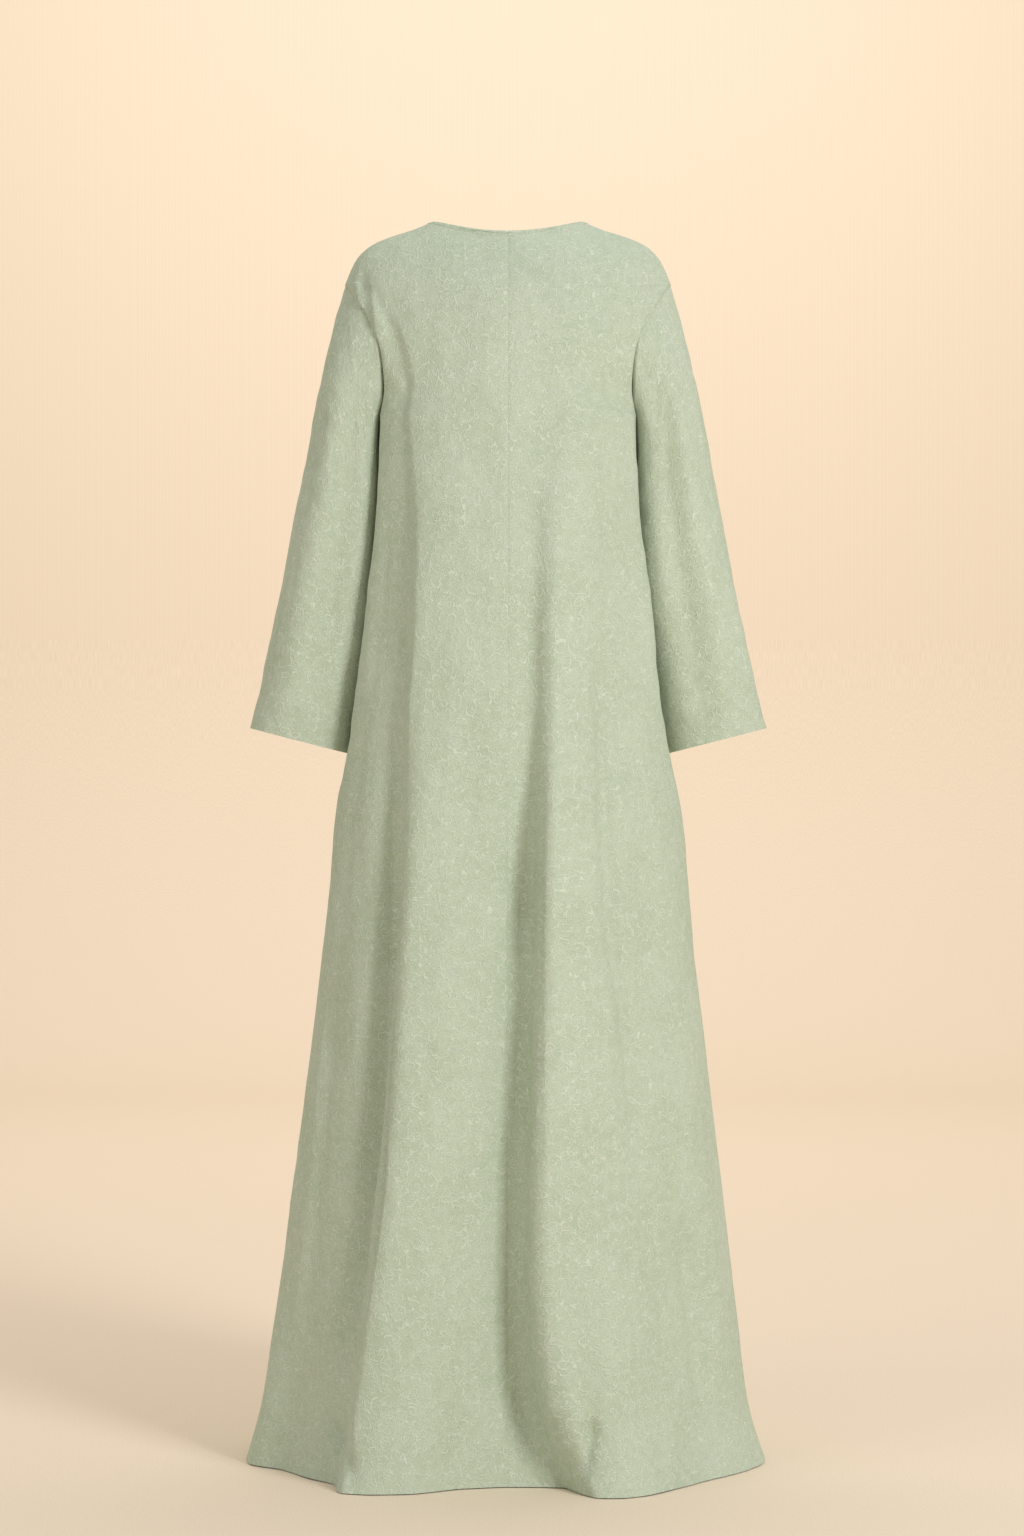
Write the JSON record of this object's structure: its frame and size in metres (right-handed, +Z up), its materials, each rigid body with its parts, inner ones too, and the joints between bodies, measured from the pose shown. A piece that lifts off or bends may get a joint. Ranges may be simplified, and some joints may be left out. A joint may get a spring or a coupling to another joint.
{
  "type": "prayer dress",
  "caption": "Long loose one-piece prayer dress in crinkled crepe: round bound neck, long straight sleeves with deep cuffs, centre back seam, flared skirt; hollow, open neck, cuffs and hem.",
  "frame": {"origin": "centre of the neck opening, level with the two neck-shoulder points, where the wearer's shoulders carry the dress", "axes": "+Z up along the dress, +X to the wearer's left, +Y to the back, so the front faces -Y"},
  "size_m": [0.6224, 0.4976, 1.4824],
  "materials": {
    "crepe": "matte crinkled crepe, pale sage green, raised tone-on-tone relief",
    "crepe_trim": "the same crepe, doubled and topstitched"
  },
  "bodies": {
    "root": {"back_left": "crepe", "back_right": "crepe", "front": "crepe", "neck_binding": "crepe_trim", "sleeve_left": "crepe", "sleeve_right": "crepe", "cuff_left": "crepe_trim", "cuff_right": "crepe_trim"}
  },
  "joints": []
}
